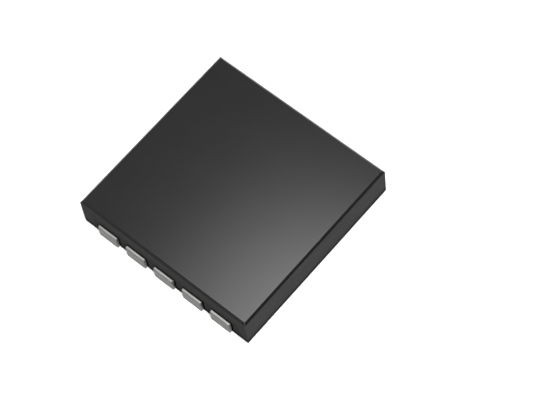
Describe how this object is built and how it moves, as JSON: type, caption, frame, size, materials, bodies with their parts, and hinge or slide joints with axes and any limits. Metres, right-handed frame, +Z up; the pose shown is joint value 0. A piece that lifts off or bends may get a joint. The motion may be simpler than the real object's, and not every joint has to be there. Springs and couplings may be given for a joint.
{
  "type": "leadless chip package",
  "caption": "Flat moulded chip package for a circuit board, with short flat terminals along two sides of its underside and a bare heat pad between them.",
  "frame": {"origin": "middle of the board surface that the terminals stand on", "axes": "+Z up out of the board through the moulding's top face; +X along the two rows of terminals, away from the pad's notched end; the notch is on the -Y side"},
  "size_m": [0.003, 0.003, 0.0006],
  "materials": {
    "epoxy": "matte",
    "tin": "matte",
    "adhesive": "matte",
    "silicon": "gloss",
    "gold": "gloss"
  },
  "bodies": {
    "root": {"moulded_body": "epoxy", "die_pad": "tin", "terminal_1": "tin", "terminal_2": "tin", "terminal_3": "tin", "terminal_4": "tin", "terminal_5": "tin", "terminal_6": "tin", "terminal_7": "tin", "terminal_8": "tin", "terminal_9": "tin", "terminal_10": "tin", "die_attach": "adhesive", "silicon_die": "silicon", "bond_wire_1": "gold", "bond_wire_2": "gold", "bond_wire_3": "gold", "bond_wire_4": "gold", "bond_wire_5": "gold", "bond_wire_6": "gold", "bond_wire_7": "gold", "bond_wire_8": "gold", "bond_wire_9": "gold", "bond_wire_10": "gold"}
  },
  "joints": []
}
